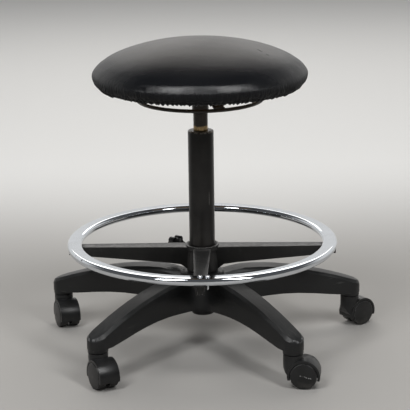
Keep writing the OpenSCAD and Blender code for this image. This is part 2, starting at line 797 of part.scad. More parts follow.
module clamp_insert() {
    color(brass) at_clamp() difference() {
        translate([0, 0, insert_out + fit_gap]) cylinder(r = insert_r - fit_gap, h = boss_out - insert_out);
        translate([0, 0, insert_out - 5]) cylinder(r = clamp_d / 2 + run_gap, h = 40);
    }
}

module clamp_pad() {
    color(nylon) at_clamp() translate([0, 0, pad_out]) cylinder(r = pad_r, h = pad_t);
}

module clamp_screw() {
    z0 = pad_out + pad_t;
    color(steel) at_clamp() {
        translate([0, 0, z0 + 1.5]) cylinder(d = clamp_d, h = disc_out + knob_t - 4 - z0 - 1.5, $fn = 48);
        translate([0, 0, z0]) cylinder(d1 = clamp_d - 3, d2 = clamp_d, h = 1.5, $fn = 48);
    }
}

module clamp_knob() {
    lobe = knob_d * 0.15;
    disc = knob_d / 2 - lobe * 0.75;
    color(rubber) at_clamp() difference() {
        union() {
            rotate_extrude() polygon([[0, knob_out], [clamp_d, knob_out], [clamp_d, disc_out],
                [disc, disc_out + 4], [disc, disc_out + knob_t], [0, disc_out + knob_t]]);
            for (i = [0:lobe_count - 1]) rotate([0, 0, (i + 0.5) * 360 / lobe_count])
                translate([knob_d / 2 - lobe, 0, disc_out + 5]) cylinder(r = lobe, h = knob_t - 6, $fn = 48);
        }
        translate([0, 0, knob_out - 5])
            cylinder(r = clamp_d / 2 + fit_gap, h = neck_len + knob_t + 1 + fit_gap, $fn = 48);
    }
}

// Casters, each modelled with its stem on the Z axis and trailing towards +X
wheel_r = wheel_d / 2;
neck_top = caster_h - 2;
hood_out_r = wheel_r + 1 + hood_wall;
wheel_in = hood_web / 2 + 0.5;
wheel_out = wheel_in + wheel_w;
stem_side = sqrt(max(0, pow(stem_d / 2, 2) - pow(wheel_in, 2)));
stem_z = wheel_r + sqrt(pow(wheel_r, 2) - pow(caster_trail - stem_side, 2)) + 1;
hood_half = wheel_out - 1;
axle_half = wheel_in + wheel_w - wheel_wall - 1;

module at_caster(i) {
    rotate([0, 0, arm_a(i)]) translate([arm_reach, 0, 0]) rotate([0, 0, TRAIL_A[i] - arm_a(i)]) children();
}

module hood(i) {
    r = neck_d / 2;
    color(nylon) at_caster(i) difference() {
        union() {
            intersection() {
                translate([0, 0, skirt_z]) cylinder(r = r, h = neck_top - skirt_z);
                blade(concat([[r + 2, neck_top + 1], [-r - 1, neck_top + 1]],
                    arc(r - 6, wheel_r + 21, r + 12.5, 180, 270, 6), [[r + 2, wheel_r - 10]]), 2 * neck_d);
            }
            intersection() {
                translate([caster_trail, hood_half, wheel_r]) rotate([90, 0, 0])
                    cylinder(r = hood_out_r, h = 2 * hood_half);
                translate([caster_trail - 40, -40, skirt_z]) cube([80, 80, 80]);
            }
        }
        for (side = [-1, 1]) translate([caster_trail, side * (hood_web / 2 + 30), wheel_r])
            rotate([90, 0, 0]) cylinder(r = wheel_r + 1, h = 60, center = true);
        translate([0, 0, stem_z]) cylinder(r = stem_d / 2 + fit_gap, h = 60, $fn = 48);
        translate([caster_trail, 0, wheel_r]) rotate([90, 0, 0])
            cylinder(r = axle_d / 2 + fit_gap, h = 60, center = true, $fn = 48);
    }
}

module stem(i) {
    r = stem_d / 2;
    top = caster_h + stem_grip;
    color(steel) at_caster(i) rotate_extrude($fn = 64) polygon([
        [0, stem_z + fit_gap], [r, stem_z + fit_gap], [r, neck_top + fit_gap], [r + 4, neck_top + fit_gap],
        [r + 4, caster_h - 0.1], [r, caster_h - 0.1], [r, top - 2], [r - 1.5, top], [0, top]]);
}

module axle(i) {
    color(steel) at_caster(i) translate([caster_trail, 0, wheel_r]) rotate([90, 0, 0])
        cylinder(d = axle_d, h = 2 * axle_half, center = true, $fn = 48);
}

// Wheel as a revolved shell with a blind hub, its open side towards the web
module wheel(i, side) {
    hub = axle_d / 2 + 3.4;
    bore = axle_d / 2 + run_gap;
    rim = wheel_r - wheel_wall;
    face = wheel_w - wheel_wall;
    color(nylon) at_caster(i) translate([caster_trail, side * wheel_in, wheel_r]) rotate([-90 * side, 0, 0])
        rotate_extrude() polygon(concat(
            [[bore, 0], [hub, 0], [hub, face], [rim, face], [rim, 0], [wheel_r - 1, 0], [wheel_r, 1]],
            arc(wheel_r - 2, wheel_w - 2, 2, 0, 60, 3),
            [for (t = [3:-1:0]) [wheel_r * t / 3.6, wheel_w + wheel_dome * (1 - pow(t / 3.6, 2)) - 0.2]],
            [[0, wheel_w - wheel_wall + 1], [bore, wheel_w - wheel_wall + 1]]));
}

star_base();
column_tube();
guide_bush();
column_end_plate();
bearing_lower_race();
bearing_balls();
bearing_cage();
caster_grip_rings();
piston_rod();
piston();
rod_clip();
bearing_upper_race();
bump_stop();
gas_cylinder();
cylinder_end_guide();
pin_guide();
socket_sleeve();
seat_bracket();
bracket_bolts();
tee_nuts();
seat_board();
seat_foam();
seat_cover();
cover_staples();
release_hoop();
release_strips();
rocker_disc();
release_pin();
foot_ring();
ring_spider();
ring_screws();
clamp_insert();
clamp_pad();
clamp_screw();
clamp_knob();
hood(BACK);  // back_hood
stem(BACK);  // back_stem
axle(BACK);  // back_axle
wheel(BACK, 1);  // back_wheel_a
wheel(BACK, -1);  // back_wheel_b
hood(LEFT);  // left_hood
stem(LEFT);  // left_stem
axle(LEFT);  // left_axle
wheel(LEFT, 1);  // left_wheel_a
wheel(LEFT, -1);  // left_wheel_b
hood(FRONT_LEFT);  // front_left_hood
stem(FRONT_LEFT);  // front_left_stem
axle(FRONT_LEFT);  // front_left_axle
wheel(FRONT_LEFT, 1);  // front_left_wheel_a
wheel(FRONT_LEFT, -1);  // front_left_wheel_b
hood(FRONT_RIGHT);  // front_right_hood
stem(FRONT_RIGHT);  // front_right_stem
axle(FRONT_RIGHT);  // front_right_axle
wheel(FRONT_RIGHT, 1);  // front_right_wheel_a
wheel(FRONT_RIGHT, -1);  // front_right_wheel_b
hood(RIGHT);  // right_hood
stem(RIGHT);  // right_stem
axle(RIGHT);  // right_axle
wheel(RIGHT, 1);  // right_wheel_a
wheel(RIGHT, -1);  // right_wheel_b
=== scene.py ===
import math

import bmesh
import bpy
import numpy as np
from mathutils import Matrix, Vector
from mathutils.kdtree import KDTree


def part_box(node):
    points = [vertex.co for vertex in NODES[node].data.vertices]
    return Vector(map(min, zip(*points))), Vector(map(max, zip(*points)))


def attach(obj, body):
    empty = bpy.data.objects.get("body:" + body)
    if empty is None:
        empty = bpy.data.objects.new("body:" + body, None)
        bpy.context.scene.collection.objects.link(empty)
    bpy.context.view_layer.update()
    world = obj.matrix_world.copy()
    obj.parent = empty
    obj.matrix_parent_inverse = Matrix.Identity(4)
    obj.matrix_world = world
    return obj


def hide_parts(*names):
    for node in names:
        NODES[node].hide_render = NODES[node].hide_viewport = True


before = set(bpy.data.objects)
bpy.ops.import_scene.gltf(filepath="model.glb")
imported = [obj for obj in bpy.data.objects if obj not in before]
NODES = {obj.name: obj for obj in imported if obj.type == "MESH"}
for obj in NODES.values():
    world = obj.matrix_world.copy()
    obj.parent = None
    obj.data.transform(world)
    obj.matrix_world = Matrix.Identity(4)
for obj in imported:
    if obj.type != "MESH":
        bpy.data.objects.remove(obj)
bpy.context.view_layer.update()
scene = bpy.context.scene


# Camera, lights and floor
PICTURE_PX, FOCAL_PX = 410, 1700.4
SENSOR_MM = 36
DISTANCE, HEIGHT = 3.2, 1.1637
PITCH, ROLL, YAW = 0.2704, -0.0135, 0.0020
# Height that all lamps look at, about the middle of the column
LAMP_AIM_Z = 0.3
FLOOR_R = 9


def make_camera():
    """The photograph's viewpoint, written out as the camera's own three axes."""
    level = Vector((math.sin(YAW), math.cos(YAW), 0))
    right = Vector((math.cos(YAW), -math.sin(YAW), 0))
    forward = math.cos(PITCH) * level - math.sin(PITCH) * Vector((0, 0, 1))
    up = math.sin(PITCH) * level + math.cos(PITCH) * Vector((0, 0, 1))
    side = math.cos(ROLL) * right + math.sin(ROLL) * up
    top = math.cos(ROLL) * up - math.sin(ROLL) * right
    data = bpy.data.cameras.new("camera")
    data.sensor_fit = "HORIZONTAL"
    data.sensor_width = SENSOR_MM
    data.lens = FOCAL_PX / PICTURE_PX * SENSOR_MM
    data.clip_start, data.clip_end = 0.05, 60
    cam = bpy.data.objects.new("camera", data)
    scene.collection.objects.link(cam)
    axes = Matrix((side, top, -forward)).transposed().to_4x4()
    cam.matrix_world = Matrix.Translation((0, -DISTANCE, HEIGHT)) @ axes
    scene.camera = cam


def soft_box(name, azimuth, elevation, distance, width, height, watts, colour=(1, 1, 1),
             mirrored=True):
    """An area lamp that looks at the stool. Azimuth 0 is on the camera's side, angles are in degrees.
    A lamp that isn't mirrored gives light but doesn't show in glossy surfaces."""
    a, e = math.radians(azimuth), math.radians(elevation)
    aim = Vector((0, 0, LAMP_AIM_Z))
    way = Vector((math.sin(a) * math.cos(e), -math.cos(a) * math.cos(e), math.sin(e)))
    place = aim + distance * way
    data = bpy.data.lights.new(name, "AREA")
    data.shape = "RECTANGLE"
    data.size, data.size_y = width, height
    data.energy = watts
    data.color = colour
    lamp = bpy.data.objects.new(name, data)
    scene.collection.objects.link(lamp)
    lamp.location = place
    lamp.rotation_mode = "QUATERNION"
    lamp.rotation_quaternion = (aim - place).to_track_quat("-Z", "Y")
    lamp.visible_glossy = mirrored


make_camera()
soft_box("window_left", -34, 47, 3.0, 0.65, 2.0, 46)
soft_box("window_right", 37, 47, 3.0, 0.55, 2.0, 42)
soft_box("back_panel", 180, 26, 4.0, 2.6, 0.9, 15, (1, 0.97, 0.94))
soft_box("ceiling_fill", 180, 62, 4.4, 4.2, 3.0, 97, (1, 0.98, 0.95), mirrored=False)

scene.view_settings.view_transform = "Standard"


# Node helpers
class Graph:
    """Short calls for one material's or world's node tree."""

    def __init__(self, tree):
        self.tree = tree

    def add(self, kind, sockets=(), **props):
        made = self.tree.nodes.new(kind)
        for key, value in props.items():
            setattr(made, key, value)
        for key, value in dict(sockets).items():
            self.put(made.inputs[key], value)
        return made

    def put(self, socket, value):
        if isinstance(value, bpy.types.NodeSocket):
            self.tree.links.new(value, socket)
        else:
            socket.default_value = value

    def math(self, operation, a, b=0.0):
        return self.add("ShaderNodeMath", {0: a, 1: b}, operation=operation).outputs[0]

    def times(self, first, *others):
        for other in others:
            first = self.math("MULTIPLY", first, other)
        return first

    def plus(self, first, *others):
        for other in others:
            first = self.math("ADD", first, other)
        return first

    def minus(self, a, b):
        return self.math("SUBTRACT", a, b)

    def fade(self, value, low, high, out_low=0.0, out_high=1.0):
        """Smooth step up of a value between two limits."""
        made = self.add("ShaderNodeMapRange", {"Value": value, "From Min": low, "From Max": high,
                                               "To Min": out_low, "To Max": out_high},
                        interpolation_type="SMOOTHSTEP")
        return made.outputs[0]

    def fall(self, value, low, high):
        """Smooth step down from 1 to 0 between two limits."""
        return self.fade(value, low, high, 1.0, 0.0)

    def mix(self, factor, a, b):
        made = self.add("ShaderNodeMix", data_type="RGBA")
        self.put(made.inputs[0], factor)
        self.put(made.inputs[6], a)
        self.put(made.inputs[7], b)
        return made.outputs[2]

    def over(self, colour, mask, amount, tint):
        """A tint laid over a colour where the mask is, at most by the amount."""
        return self.mix(self.times(mask, amount), colour, tint)

    def split(self, vector):
        return self.add("ShaderNodeSeparateXYZ", {0: vector}).outputs[:]

    def noise(self, where, scale, detail=4.0, rough=0.55):
        made = self.add("ShaderNodeTexNoise", {"Vector": where, "Scale": scale, "Detail": detail,
                                               "Roughness": rough})
        return made.outputs["Fac"]

    def stretch(self, where, scale):
        return self.add("ShaderNodeMapping", {"Vector": where, "Scale": scale}).outputs[0]

    def bump(self, height, distance, strength=1.0, normal=None):
        sockets = {"Height": height, "Distance": distance, "Strength": strength}
        if normal:
            sockets["Normal"] = normal
        return self.add("ShaderNodeBump", sockets).outputs[0]


class Finish(Graph):
    """A material with its place on the object, in metres, at hand."""

    def __init__(self, name):
        self.material = bpy.data.materials.new(name)
        self.material.use_nodes = True
        super().__init__(self.material.node_tree)
        self.shader = self.tree.nodes["Principled BSDF"]
        self.at = self.add("ShaderNodeTexCoord").outputs["Object"]

    def facing_up(self):
        return self.split(self.add("ShaderNodeNewGeometry").outputs["Normal"])[2]

    def squared_radius(self, x, y):
        """Squared distance from the stool's axis."""
        return self.plus(self.times(x, x), self.times(y, y))

    def edge(self):
        """1 on the rounding of convex edges, see mark_rub."""
        return self.add("ShaderNodeAttribute", attribute_name="rub").outputs["Fac"]

    def edge_rub(self, scale=70, low=0.42, high=0.6):
        """Convex edges that hands and shoes have rubbed, broken up by noise."""
        return self.times(self.edge(), self.fade(self.noise(self.at, scale, 4), low, high))

    def done(self, colour, roughness, normal=None, **constants):
        self.put(self.shader.inputs["Base Color"], colour)
        self.put(self.shader.inputs["Roughness"], roughness)
        if normal:
            self.put(self.shader.inputs["Normal"], normal)
        for key, value in constants.items():
            self.shader.inputs[key.replace("_", " ")].default_value = value
        return self.material


def rgb(r, g, b):
    return (r, g, b, 1.0)


# Materials
def moulded_nylon(name, dark, light, roughness, grain):
    g = Finish(name)
    cloud = g.noise(g.at, 9, 5)
    lines = g.noise(g.stretch(g.at, (40, 40, 900)), 1.0, 3)
    scratch = g.times(g.fade(lines, 0.66, 0.72), g.fade(g.noise(g.at, 22, 2), 0.52, 0.66))
    dust = g.times(g.fade(g.facing_up(), 0.3, 0.95), g.fade(g.noise(g.at, 30, 6), 0.4, 0.75, 0.15, 0.6))
    colour = g.mix(g.fade(cloud, 0.35, 0.7), dark, light)
    colour = g.over(colour, dust, 0.3, rgb(0.06, 0.059, 0.057))
    colour = g.over(colour, scratch, 0.3, rgb(0.08, 0.083, 0.087))
    colour = g.over(colour, g.edge_rub(), 0.5, rgb(0.10, 0.103, 0.107))
    rough = g.fade(cloud, 0.3, 0.75, roughness - 0.05, roughness + 0.08)
    return g.done(colour, rough, g.bump(g.noise(g.at, 420, 2), 0.00025, grain), Specular_IOR_Level=0.5)


def base_nylon():
    """Grained black nylon with scrapes: shoe wear and a painted sheen grey the tops, painted highlights mark
    the front arms' nose edges.
    """
    g = Finish("base_nylon")
    x, y, z = g.split(g.at)
    radius = g.math("SQRT", g.squared_radius(x, y))
    up = g.facing_up()
    # scrapes follow the arms: long outwards, short across and upright
    along = g.add("ShaderNodeCombineXYZ", {0: g.times(radius, 14), 1: g.times(g.math("ARCTAN2", y, x), 60),
                                           2: g.times(z, 160)}).outputs[0]
    cloud = g.noise(g.at, 9, 5)
    drag = g.noise(along, 1.0, 5, 0.6)
    # the lighter tops are partly shoe wear and partly a painted sheen of the pale wall
    wear_and_sheen_tops = g.times(g.fade(up, 0.12, 0.5), g.fade(drag, 0.36, 0.66, 0.15, 1.0))
    scrape = g.times(g.fade(drag, 0.62, 0.70), g.fade(g.noise(g.at, 18, 3), 0.5, 0.62))
    # painted highlight: pale crescents on the nose edges at the ends of the front arms
    nose_highlight = g.times(g.fade(radius, 0.294, 0.302), g.fall(y, -0.215, -0.2),
                  g.fade(up, 0.2, 0.34), g.fall(up, 0.5, 0.64), g.fade(g.noise(g.at, 130, 4), 0.46, 0.6))
    colour = g.mix(g.fade(cloud, 0.35, 0.7), rgb(0.0075, 0.0078, 0.0082), rgb(0.0125, 0.013, 0.0135))
    colour = g.over(colour, wear_and_sheen_tops, 0.55, rgb(0.034, 0.0345, 0.034))
    colour = g.over(colour, scrape, 0.5, rgb(0.07, 0.07, 0.068))
    colour = g.over(colour, g.edge_rub(60, 0.4, 0.56), 0.6, rgb(0.11, 0.112, 0.112))
    colour = g.over(colour, nose_highlight, 0.6, rgb(0.22, 0.225, 0.23))
    rough = g.plus(g.fade(cloud, 0.3, 0.75, 0.34, 0.46), g.times(wear_and_sheen_tops, 0.06))
    grain = g.bump(g.noise(g.at, 420, 2), 0.00025, 0.35)
    return g.done(colour, rough, g.bump(drag, 0.0006, 0.35, grain), Specular_IOR_Level=0.38)


def caster_nylon():
    """Satin black nylon with dusty treads, and the small white scuffs on the nearest wheel."""
    g = Finish("caster_nylon")
    x, y, z = g.split(g.at)
    cloud = g.noise(g.at, 24, 5)
    dust = g.times(g.fall(z, 0.004, 0.02), g.fade(g.noise(g.at, 90, 4), 0.4, 0.65))
    # the scuffs lie on a wavering line that falls towards the wheel's outer end
    wobble = g.times(g.minus(g.noise(g.at, 260, 3), 0.5), 0.004)
    line_z = g.minus(0.0275, g.times(g.minus(x, 0.175), 0.25))
    line = g.math("ABSOLUTE", g.plus(wobble, g.minus(z, line_z)))
    scuff = g.times(g.fall(line, 0.0003, 0.0009), g.fade(g.noise(g.at, 330, 3), 0.44, 0.52),
                    g.fade(x, 0.1745, 0.1765), g.fall(x, 0.195, 0.198), g.fall(y, -0.2825, -0.2815))
    colour = g.mix(g.fade(cloud, 0.35, 0.7), rgb(0.008, 0.0082, 0.0085), rgb(0.015, 0.0152, 0.0155))
    colour = g.over(colour, dust, 0.5, rgb(0.07, 0.066, 0.06))
    colour = g.over(colour, g.edge_rub(110, 0.4, 0.58), 0.5, rgb(0.10, 0.10, 0.10))
    colour = g.over(colour, scuff, 0.9, rgb(0.5, 0.5, 0.5))
    rough = g.plus(g.fade(cloud, 0.3, 0.75, 0.30, 0.42), g.times(dust, 0.2))
    return g.done(colour, rough, g.bump(g.noise(g.at, 700, 2), 0.00015, 0.35), Specular_IOR_Level=0.4)


def painted(name, dark, light, roughness, metallic=0.0):
    g = Finish(name)
    smear = g.noise(g.stretch(g.at, (1, 1, 0.25)), 60, 4)
    colour = g.mix(g.fade(g.noise(g.at, 14, 5), 0.35, 0.7), dark, light)
    colour = g.over(colour, g.edge_rub(), 0.7, rgb(0.2, 0.2, 0.2))
    rough = g.fade(smear, 0.3, 0.75, roughness - 0.06, roughness + 0.1)
    return g.done(colour, rough, g.bump(g.noise(g.at, 300, 2), 0.0001, 0.5), Metallic=metallic)


def spider_paint():
    """Painted casting whose front spoke and collar have lost the paint along their edges."""
    g = Finish("spider_black")
    x, y, z = g.split(g.at)
    front = g.times(g.fall(y, -0.05, -0.035), g.fall(g.math("ABSOLUTE", x), 0.02, 0.03))
    collar = g.times(g.fall(g.squared_radius(x, y), 0.0012, 0.0016), g.fade(z, 0.190, 0.194))
    heavy = g.math("MAXIMUM", front, collar)
    flecks = g.noise(g.at, 130, 4, 0.65)
    rub = g.times(g.edge(), g.fade(flecks, g.minus(0.5, g.times(heavy, 0.24)),
                                   g.minus(0.62, g.times(heavy, 0.2))))
    # the lighter tops are partly worn paint and partly a painted sheen of the pale wall, and the front spoke
    # keeps little of it
    top_wear_and_sheen = g.times(g.fade(g.facing_up(), 0.5, 0.9), g.fade(g.noise(g.at, 40, 4), 0.36, 0.6, 0.35, 1.0),
                    g.minus(1.0, g.times(front, 0.85)))
    streak = g.noise(g.stretch(g.at, (160, 160, 14)), 1.0, 4)
    colour = g.mix(g.fade(g.noise(g.at, 14, 5), 0.35, 0.7), rgb(0.0065, 0.0065, 0.0067),
                   rgb(0.0125, 0.0122, 0.0118))
    colour = g.over(colour, top_wear_and_sheen, 0.45, rgb(0.10, 0.098, 0.094))
    colour = g.over(colour, g.fade(streak, 0.58, 0.7), 0.3, rgb(0.035, 0.034, 0.033))
    bare = g.mix(heavy, rgb(0.42, 0.415, 0.40), rgb(0.85, 0.84, 0.81))
    colour = g.over(colour, rub, g.plus(0.4, g.times(heavy, 0.55)), bare)
    rough = g.fade(streak, 0.3, 0.75, 0.32, 0.46)
    return g.done(colour, rough, g.bump(g.noise(g.at, 300, 2), 0.0001, 0.5), Specular_IOR_Level=0.4)


def column_paint():
    """Satin black tube with a rubbed rim, a pale scratch, dusty mottling and a glossy bare foot."""
    g = Finish("column_black")
    x, y, z = g.split(g.at)
    wipe = g.noise(g.stretch(g.at, (60, 60, 3)), 1.0, 4)
    cloud = g.noise(g.at, 16, 6, 0.65)
    rim = g.times(g.fade(z, 0.4235, 0.4262), g.fade(g.noise(g.at, 150, 4), 0.42, 0.58))
    line = g.math("ABSOLUTE", g.minus(x, 0.0148))
    scratch = g.times(g.fall(line, 0.0, 0.0008), g.fade(z, 0.28, 0.286), g.fall(z, 0.302, 0.312),
                      g.fall(y, -0.001, 0.0), g.fade(g.noise(g.at, 300, 2), 0.36, 0.5))
    foot = g.fall(z, 0.074, 0.08)
    colour = g.mix(g.fade(cloud, 0.34, 0.68), rgb(0.005, 0.0046, 0.0042), rgb(0.0145, 0.0132, 0.012))
    colour = g.over(colour, rim, 0.75, rgb(0.34, 0.33, 0.31))
    colour = g.over(colour, scratch, 0.7, rgb(0.2, 0.19, 0.18))
    colour = g.mix(foot, colour, rgb(0.0035, 0.0033, 0.003))
    rough = g.minus(g.fade(wipe, 0.3, 0.75, 0.27, 0.42), g.times(foot, 0.16))
    return g.done(colour, rough, g.bump(g.noise(g.at, 500, 2), 0.0001, 0.4), Specular_IOR_Level=0.4)


def bush_plastic():
    """Black guide bush whose flange is scuffed pale round its outer edge."""
    g = Finish("bush_plastic")
    x, y, z = g.split(g.at)
    radius = g.math("SQRT", g.squared_radius(x, y))
    worn = g.times(g.fade(radius, 0.0195, 0.0212), g.fade(g.noise(g.at, 130, 4), 0.44, 0.56))
    cloud = g.noise(g.at, 60, 3)
    colour = g.mix(g.fade(cloud, 0.3, 0.7), rgb(0.008, 0.008, 0.008), rgb(0.016, 0.0155, 0.015))
    colour = g.over(colour, worn, 0.8, rgb(0.36, 0.35, 0.33))
    return g.done(colour, 0.36, g.bump(g.noise(g.at, 420, 2), 0.0001, 0.3))


def cylinder_paint():
    """Bronze-grey enamel that the bush has polished to brass colour just above the column."""
    g = Finish("cylinder_bronze")
    wobble = g.minus(g.times(g.noise(g.at, 90, 3), 0.008), 0.004)
    height = g.plus(g.split(g.at)[2], wobble)
    worn = g.times(g.fade(height, 0.424, 0.426), g.fall(height, 0.4345, 0.4385))
    streak = g.noise(g.stretch(g.at, (90, 90, 6)), 1.0, 4)
    colour = g.mix(g.fade(streak, 0.3, 0.75), rgb(0.032, 0.028, 0.024), rgb(0.07, 0.062, 0.053))
    colour = g.mix(worn, colour, rgb(0.40, 0.285, 0.14))
    rough = g.fade(streak, 0.3, 0.8, 0.24, 0.36)
    return g.done(colour, rough, g.bump(streak, 0.00005, 0.5), Metallic=0.7)


# The two dark nicks in the plating of the foot ring's top: place, and size
NICK_Z = 0.2092
NICKS = ((-0.2421, -0.1028, 0.0026), (-0.2287, -0.1299, 0.0034))


def chrome_plate():
    """Chrome with smudges, fine pits and the two nicks that show on the ring's left."""
    g = Finish("chrome_plate")
    smudge = g.noise(g.at, 26, 5)
    pit = g.fade(g.noise(g.at, 260, 2), 0.72, 0.78)
    nick = 0.0
    for x, y, size in NICKS:
        away = g.add("ShaderNodeVectorMath", {0: g.at, 1: (x, y, NICK_Z)}, operation="DISTANCE")
        ragged = g.times(g.minus(g.noise(g.at, 700, 3), 0.5), size)
        spot = g.fall(g.plus(away.outputs["Value"], ragged), size * 0.5, size)
        nick = g.math("MAXIMUM", nick, spot)
    colour = g.mix(g.fade(smudge, 0.3, 0.8), rgb(0.76, 0.795, 0.84), rgb(0.69, 0.72, 0.76))
    colour = g.over(colour, pit, 0.5, rgb(0.16, 0.14, 0.12))
    colour = g.over(colour, nick, 0.9, rgb(0.03, 0.028, 0.025))
    rough = g.plus(g.fade(smudge, 0.35, 0.8, 0.04, 0.10), g.times(nick, 0.4))
    normal = g.bump(g.noise(g.at, 900, 2), 0.00003, 0.15)
    return g.done(colour, rough, g.bump(nick, 0.0006, 0.8, normal), Metallic=1.0)


def bright_metal(name, colour_a, colour_b, roughness, stretch=(1, 1, 1)):
    g = Finish(name)
    streak = g.noise(g.stretch(g.at, stretch), 240, 4)
    colour = g.mix(g.fade(streak, 0.3, 0.75), colour_a, colour_b)
    rough = g.fade(streak, 0.3, 0.75, roughness, roughness + 0.15)
    return g.done(colour, rough, g.bump(streak, 0.00004, 0.4), Metallic=1.0)


# The two dark scars on the seat's crown: middle, direction and half length
SCARS = ((0.1128, -0.0445, 0.60, -0.80, 0.0085), (0.1268, -0.0612, 0.7, -0.7, 0.0035))


def scar_mask(g, x, y, z):
    mask = 0.0
    for mid_x, mid_y, way_x, way_y, half in SCARS:
        dx, dy = g.minus(x, mid_x), g.minus(y, mid_y)
        along = g.plus(g.times(dx, way_x), g.times(dy, way_y))
        across = g.minus(g.times(dx, -way_y), g.times(dy, -way_x))
        mark = g.times(g.fall(g.math("ABSOLUTE", along), half * 0.6, half),
                       g.fall(g.math("ABSOLUTE", across), 0.0005, 0.0015), g.fade(z, 0.56, 0.565))
        mask = g.math("MAXIMUM", mask, mark)
    return mask


def cover_vinyl():
    """Black vinyl: fine leather grain, pulled creases, a crown that sitting has dulled, lighter and warmer
    from wear and a painted sheen.
    """
    g = Finish("cover_vinyl")
    x, y, z = g.split(g.at)
    cells = g.add("ShaderNodeTexVoronoi", {"Vector": g.at, "Scale": 620.0, "Randomness": 1.0},
                  feature="DISTANCE_TO_EDGE").outputs["Distance"]
    grain = g.plus(g.fade(cells, 0.0, 0.12), g.times(g.noise(g.at, 1500, 2), 0.35))
    cloud = g.noise(g.at, 7, 5)
    drag = g.noise(g.stretch(g.at, (5, 26, 26)), 1.0, 5)
    crown = g.fade(z, 0.560, 0.598)
    side = g.fall(z, 0.552, 0.560)
    hem = g.fall(z, 0.530, 0.549)
    # lighter, warmer crown: partly wear from sitting, partly a painted sheen of the pale wall
    worn = g.times(crown, g.fade(drag, 0.3, 0.72, 0.55, 1.0))
    scar = scar_mask(g, x, y, z)
    colour = g.mix(g.fade(cloud, 0.35, 0.7), rgb(0.0035, 0.0039, 0.005), rgb(0.0065, 0.007, 0.0082))
    colour = g.over(colour, worn, 0.8, rgb(0.034, 0.0305, 0.0285))
    colour = g.over(colour, scar, 0.85, rgb(0.004, 0.004, 0.004))
    # the front rim is handled to a gloss, the crown is dull
    rim = g.fade(y, -0.17, -0.12, 0.16, 0.38)
    rough = g.plus(rim, g.times(crown, g.minus(0.44, rim)), g.times(g.minus(cloud, 0.5), 0.12),
                   g.times(scar, 0.4), g.times(hem, 0.22))
    creases = g.noise(g.stretch(g.at, (18, 18, 60)), 1.0, 6, 0.7)
    pulls = g.times(g.noise(g.stretch(g.at, (150, 150, 24)), 1.0, 2, 0.5), side)
    gathers = g.times(g.noise(g.stretch(g.at, (300, 300, 22)), 1.0, 3, 0.5), g.fall(z, 0.532, 0.546))
    crinkle = g.times(g.noise(g.stretch(g.at, (300, 300, 190)), 1.0, 2, 0.5), side)
    sound = g.minus(1.0, scar)
    normal = g.bump(g.fade(creases, 0.35, 0.7), 0.0006, 0.3)
    for height, distance, strength in ((pulls, 0.0012, 0.35), (gathers, 0.0045, 0.9), (crinkle, 0.0013, 0.5),
                                       (grain, 0.00014, 0.3), (sound, 0.0008, 0.6)):
        normal = g.bump(height, distance, strength, normal)
    g.put(g.shader.inputs["Specular IOR Level"], g.times(sound, g.minus(0.5, g.times(hem, 0.3))))
    return g.done(colour, rough, normal)


# Thickness of one ply of the seat board
PLY_T = 0.0013


def plywood():
    g = Finish("plywood_board")
    rings = g.noise(g.stretch(g.at, (6, 60, 6)), 1.0, 6, 0.65)
    ply = g.math("PINGPONG", g.split(g.at)[2], PLY_T)
    colour = g.mix(g.fade(rings, 0.35, 0.68), rgb(0.34, 0.2, 0.1), rgb(0.52, 0.36, 0.2))
    colour = g.mix(g.fade(ply, 0.0, PLY_T, 0.0, 0.35), colour, rgb(0.24, 0.14, 0.07))
    return g.done(colour, 0.7, g.bump(rings, 0.0003, 0.4))


def foam_cells():
    g = Finish("seat_foam")
    cells = g.noise(g.at, 900, 3)
    colour = g.mix(g.fade(cells, 0.3, 0.7), rgb(0.44, 0.38, 0.22), rgb(0.6, 0.54, 0.36))
    return g.done(colour, 0.9, g.bump(cells, 0.0005, 0.8))


def floor_finish():
    """Plain floor that grows paler behind the stool, so that it also makes the pale background."""
    g = Finish("studio_floor")
    cloud = g.noise(g.at, 1.5, 4)
    colour = g.mix(cloud, rgb(0.36, 0.35, 0.335), rgb(0.38, 0.37, 0.355))
    colour = g.mix(g.fade(g.split(g.at)[1], 0.3, 1.5), colour, rgb(0.80, 0.80, 0.79))
    return g.done(colour, 0.75, Specular_IOR_Level=0.2)


MATERIALS = {
    "base": base_nylon(),
    "caster": caster_nylon(),
    "column": column_paint(),
    "bracket": painted("bracket_black", rgb(0.009, 0.009, 0.009), rgb(0.015, 0.0145, 0.014), 0.45),
    "spider": spider_paint(),
    "bronze": painted("bronze_enamel", rgb(0.02, 0.0165, 0.0135), rgb(0.034, 0.028, 0.022), 0.33, 0.35),
    "cylinder": cylinder_paint(),
    "chrome": chrome_plate(),
    "steel": bright_metal("plain_steel", rgb(0.42, 0.415, 0.4), rgb(0.56, 0.555, 0.54), 0.25),
    "brass": bright_metal("turned_brass", rgb(0.5, 0.36, 0.15), rgb(0.62, 0.47, 0.22), 0.2, (1, 1, 6)),
    "bush": bush_plastic(),
    "rubber": moulded_nylon("bump_rubber", rgb(0.012, 0.012, 0.012), rgb(0.018, 0.018, 0.017), 0.75, 0.6),
    "knob": moulded_nylon("knob_gloss", rgb(0.008, 0.008, 0.0085), rgb(0.012, 0.012, 0.0125), 0.2, 0.1),
    "vinyl": cover_vinyl(),
    "plywood": plywood(),
    "foam": foam_cells(),
    "floor": floor_finish(),
}
